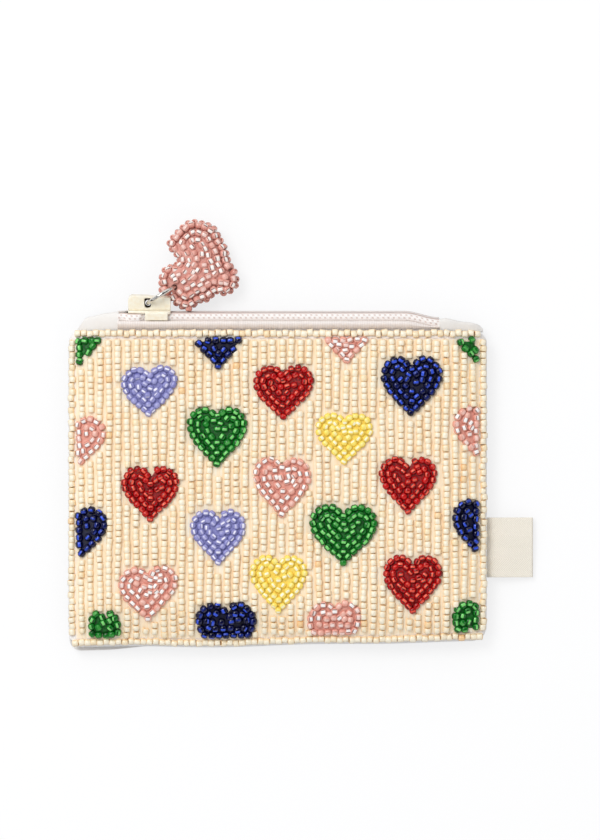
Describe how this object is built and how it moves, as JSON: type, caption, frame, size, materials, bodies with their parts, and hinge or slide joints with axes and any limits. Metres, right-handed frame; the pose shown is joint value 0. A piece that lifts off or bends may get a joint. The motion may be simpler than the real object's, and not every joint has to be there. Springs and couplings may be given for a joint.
{
  "type": "beaded zip wallet",
  "caption": "Small soft zip wallet with a bead-covered pillow front of hearts, a plain back, and a puffed bead heart on a jump ring at its slider.",
  "frame": {"origin": "middle of the back panel's flat outer face, on the plane that the wallet lies on", "axes": "+X along the zip, away from the closed slider; +Y up the front towards the zip; +Z out of the bead front"},
  "size_m": [0.1339, 0.1243, 0.0108],
  "materials": {
    "cotton": "plain woven cotton, off-white",
    "lining_cloth": "thin plain lining",
    "ivory_beads": "pearly opaque seed beads",
    "red_beads": "clear red seed beads with silver-lined holes",
    "green_beads": "clear green seed beads with silver-lined holes",
    "navy_beads": "clear dark blue seed beads with silver-lined holes",
    "lavender_beads": "pearly lavender seed beads",
    "yellow_beads": "pearly yellow seed beads",
    "pink_beads": "clear pale pink seed beads with silver-lined holes",
    "zip_tape": "ribbed woven tape",
    "zip_coil": "nylon coil",
    "cream_paint": "satin cream paint",
    "steel": "bright polished",
    "ribbon": "woven satin ribbon"
  },
  "bodies": {
    "back": {"back_panel": "cotton", "lining_back": "lining_cloth", "zip_tape_back": "zip_tape", "zip_coil_back": "zip_coil", "zip_tab_left": "cotton", "zip_tab_right": "cotton", "side_label": "ribbon"},
    "front": {"lining_front": "lining_cloth", "front_cloth": "cotton", "bead_field": "ivory_beads", "piping_top": "ivory_beads", "piping_bottom": "ivory_beads", "piping_left": "ivory_beads", "piping_right": "ivory_beads", "heart_lavender_1": "lavender_beads", "heart_lavender_2": "lavender_beads", "heart_red_1": "red_beads", "heart_red_2": "red_beads", "heart_red_3": "red_beads", "heart_red_4": "red_beads", "heart_navy_1": "navy_beads", "heart_navy_top": "navy_beads", "heart_navy_left": "navy_beads", "heart_navy_right": "navy_beads", "heart_navy_bottom": "navy_beads", "heart_green_1": "green_beads", "heart_green_2": "green_beads", "heart_green_top_left": "green_beads", "heart_green_top_right": "green_beads", "heart_green_bottom_left": "green_beads", "heart_green_bottom_right": "green_beads", "heart_yellow_1": "yellow_beads", "heart_yellow_2": "yellow_beads", "heart_pink_1": "pink_beads", "heart_pink_2": "pink_beads", "heart_pink_top": "pink_beads", "heart_pink_left": "pink_beads", "heart_pink_right": "pink_beads", "heart_pink_bottom": "pink_beads", "zip_tape_front": "zip_tape", "zip_coil_front": "zip_coil"},
    "slider": {"slider_body": "cream_paint", "slider_crown": "cream_paint", "slider_pawl": "steel"},
    "ring": {"jump_ring": "steel"},
    "charm": {"heart_charm": "pink_beads"}
  },
  "joints": [
    {"name": "zip_slide", "type": "slide", "parent": "back", "child": "slider", "axis": [1, 0, 0], "range_m": [0, 0.0666], "deforming": ["zip_coil_back", "zip_tape_back"]},
    {"name": "mouth_open", "type": "hinge", "parent": "back", "child": "front", "pos_m": [0, -0.0455, 0.0025], "axis": [1, 0, 0], "range_deg": [0, 12], "deforming": ["zip_coil_front", "zip_tape_front"]},
    {"name": "ring_swing", "type": "hinge", "parent": "slider", "child": "ring", "pos_m": [-0.03725, 0.05329, 0.00589], "axis": [0, 0, 1], "range_deg": [0, 90]},
    {"name": "charm_lift", "type": "hinge", "parent": "ring", "child": "charm", "pos_m": [-0.03339, 0.05561, 0.00589], "axis": [0.5151, -0.8571, 0], "range_deg": [0, 75]}
  ],
  "couplings": [
    {"joint": "mouth_open", "follows": "zip_slide", "rad_per_m": 3.14}
  ]
}
